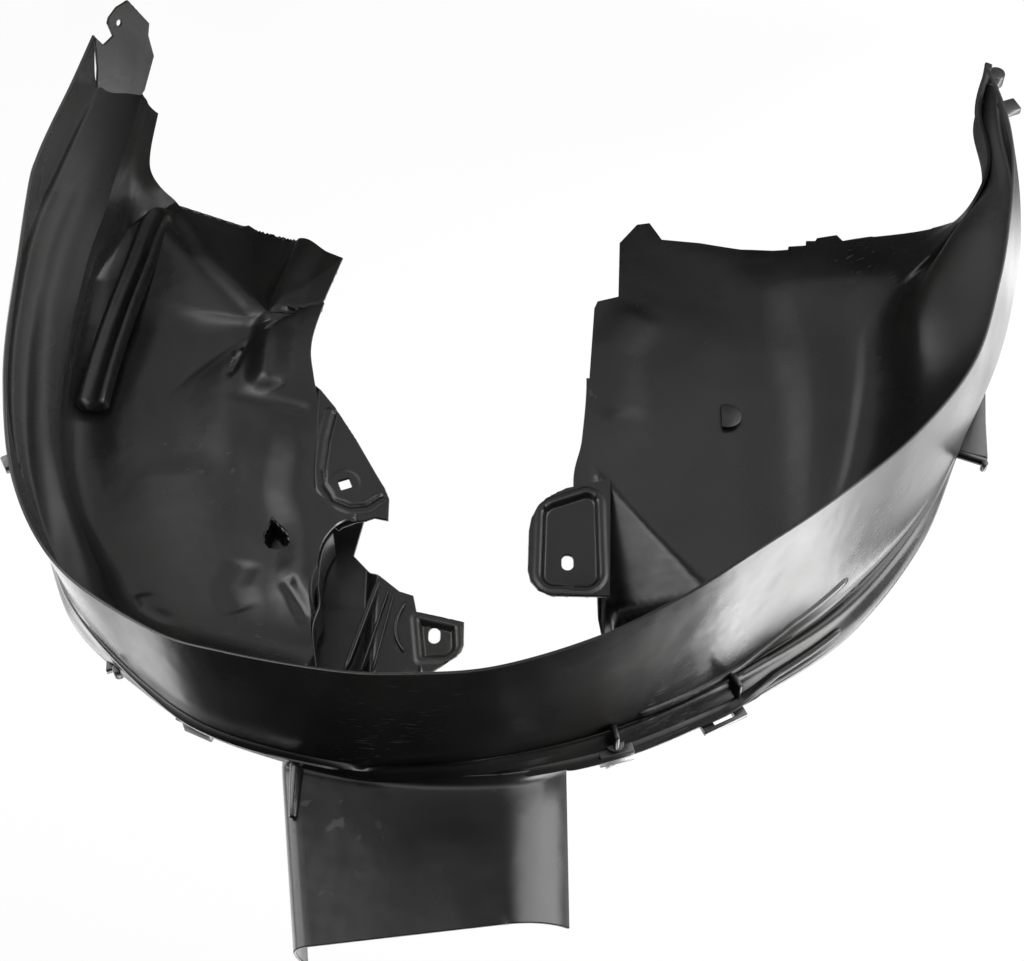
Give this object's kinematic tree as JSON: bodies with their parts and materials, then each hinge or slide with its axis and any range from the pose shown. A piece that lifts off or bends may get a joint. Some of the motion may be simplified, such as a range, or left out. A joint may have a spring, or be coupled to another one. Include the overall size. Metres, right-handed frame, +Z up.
{
  "type": "wheel arch liner",
  "caption": "Moulded wheel arch liner with a flanged band, two inner walls round a strut gap, an upper panel, screw tabs and small fixing lugs.",
  "frame": {"origin": "centre of the round screw hole in the tip plate of the rear leg, half way through the plate", "axes": "as fitted to the car: +Z up, +Y inboard, +X along the car towards the leg that has the tip plate"},
  "size_m": [0.8185, 0.2501, 0.8151],
  "materials": {
    "black_polypropylene": "satin, semi-gloss where the light grazes"
  },
  "bodies": {
    "root": {"wheel_arch_liner": "black_polypropylene"}
  },
  "joints": []
}
